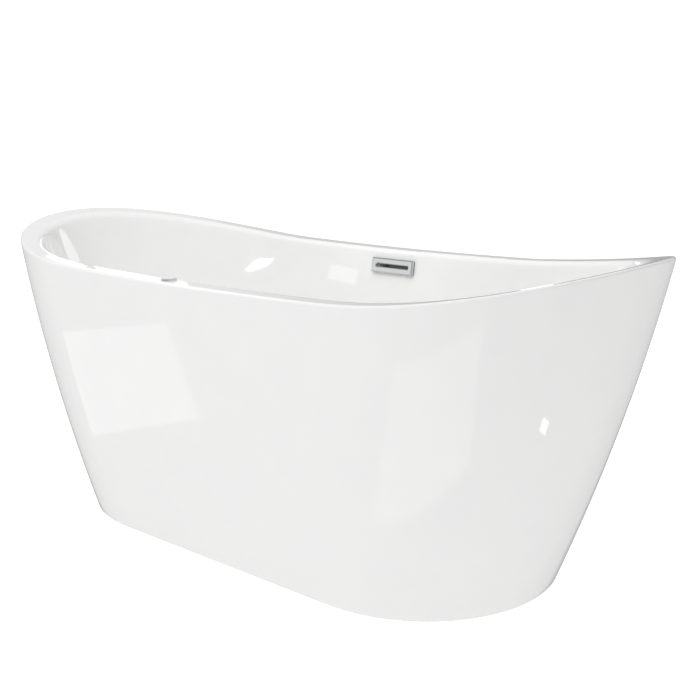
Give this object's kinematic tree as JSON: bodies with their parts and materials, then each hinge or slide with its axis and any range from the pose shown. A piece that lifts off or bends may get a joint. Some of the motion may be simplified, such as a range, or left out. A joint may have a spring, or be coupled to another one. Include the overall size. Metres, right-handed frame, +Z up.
{
  "type": "freestanding bathtub",
  "caption": "Freestanding double-slipper bathtub: tapering skirt, dipped rim, slotted overflow, pop-up waste worked by a rim button, levelling feet.",
  "frame": {"origin": "on the floor under the middle of the tub", "axes": "+X along the length, +Y towards the overflow's side, +Z up"},
  "size_m": [1.6926, 0.7832, 0.7186],
  "materials": {
    "sanitary_acrylic": "gloss white sanitary acrylic, vacuum formed",
    "bond": "cured adhesive bead",
    "board": "raw chipboard",
    "frame_steel": "grey primer",
    "plated_steel": "zinc plated",
    "foot_plastic": "moulded black nylon",
    "chrome": "polished chrome plate",
    "brass": "turned",
    "rubber": "moulded",
    "drain_plastic": "moulded white"
  },
  "bodies": {
    "tub": {"outer_skirt": "sanitary_acrylic", "inner_basin": "sanitary_acrylic", "rim_bond": "bond", "floor_board": "board", "frame_rail_front": "frame_steel", "frame_rail_back": "frame_steel", "frame_cross_left": "frame_steel", "frame_cross_right": "frame_steel", "skirt_bracket_front_left": "plated_steel", "skirt_bracket_front_right": "plated_steel", "skirt_bracket_back_right": "plated_steel", "skirt_bracket_back_left": "plated_steel", "bracket_screws": "plated_steel", "board_screws": "plated_steel", "foot_weld_nuts": "plated_steel", "foot_lock_nuts": "plated_steel", "overflow_cover": "chrome", "waste_flange": "chrome", "button_housing": "chrome", "button_nut": "brass", "waste_lock_nut": "brass", "cable_gland": "brass", "overflow_gasket": "rubber", "waste_seal_upper": "rubber", "waste_seal_lower": "rubber", "button_washer": "rubber", "overflow_housing": "drain_plastic", "waste_body": "drain_plastic", "tailpiece": "drain_plastic", "outlet_nut": "drain_plastic", "overflow_pipe": "drain_plastic", "pipe_collars": "drain_plastic"},
    "plug": {"plug_cap": "chrome", "plug_seal": "rubber", "plug_stem": "brass"},
    "button": {"button_cap": "chrome"},
    "pad_front_left": {"foot_front_left_pad": "foot_plastic"},
    "stem_front_left": {"foot_front_left_stem": "plated_steel"},
    "pad_front_right": {"foot_front_right_pad": "foot_plastic"},
    "stem_front_right": {"foot_front_right_stem": "plated_steel"},
    "pad_back_right": {"foot_back_right_pad": "foot_plastic"},
    "stem_back_right": {"foot_back_right_stem": "plated_steel"},
    "pad_back_left": {"foot_back_left_pad": "foot_plastic"},
    "stem_back_left": {"foot_back_left_stem": "plated_steel"}
  },
  "joints": [
    {"name": "plug_lift", "type": "slide", "parent": "tub", "child": "plug", "axis": [0, 0, 1], "range_m": [0, 0.007]},
    {"name": "button_press", "type": "slide", "parent": "tub", "child": "button", "axis": [0, 0, 1], "range_m": [-0.0035, 0]},
    {"name": "front_left_height", "type": "slide", "parent": "tub", "child": "pad_front_left", "axis": [0, 0, 1], "range_m": [-0.01, 0.002]},
    {"name": "front_left_turn", "type": "hinge", "parent": "pad_front_left", "child": "stem_front_left", "pos_m": [-0.4, -0.15, 0.06], "axis": [0, 0, 1], "range_deg": [-2058, 412]},
    {"name": "front_right_height", "type": "slide", "parent": "tub", "child": "pad_front_right", "axis": [0, 0, 1], "range_m": [-0.01, 0.002]},
    {"name": "front_right_turn", "type": "hinge", "parent": "pad_front_right", "child": "stem_front_right", "pos_m": [0.4, -0.15, 0.06], "axis": [0, 0, 1], "range_deg": [-2058, 412]},
    {"name": "back_right_height", "type": "slide", "parent": "tub", "child": "pad_back_right", "axis": [0, 0, 1], "range_m": [-0.01, 0.002]},
    {"name": "back_right_turn", "type": "hinge", "parent": "pad_back_right", "child": "stem_back_right", "pos_m": [0.4, 0.15, 0.06], "axis": [0, 0, 1], "range_deg": [-2058, 412]},
    {"name": "back_left_height", "type": "slide", "parent": "tub", "child": "pad_back_left", "axis": [0, 0, 1], "range_m": [-0.01, 0.002]},
    {"name": "back_left_turn", "type": "hinge", "parent": "pad_back_left", "child": "stem_back_left", "pos_m": [-0.4, 0.15, 0.06], "axis": [0, 0, 1], "range_deg": [-2058, 412]}
  ],
  "couplings": [
    {"joint": "button_press", "follows": "plug_lift", "ratio": -0.5},
    {"joint": "front_left_turn", "follows": "front_left_height", "rad_per_m": 3590.4},
    {"joint": "front_right_turn", "follows": "front_right_height", "rad_per_m": 3590.4},
    {"joint": "back_right_turn", "follows": "back_right_height", "rad_per_m": 3590.4},
    {"joint": "back_left_turn", "follows": "back_left_height", "rad_per_m": 3590.4}
  ]
}
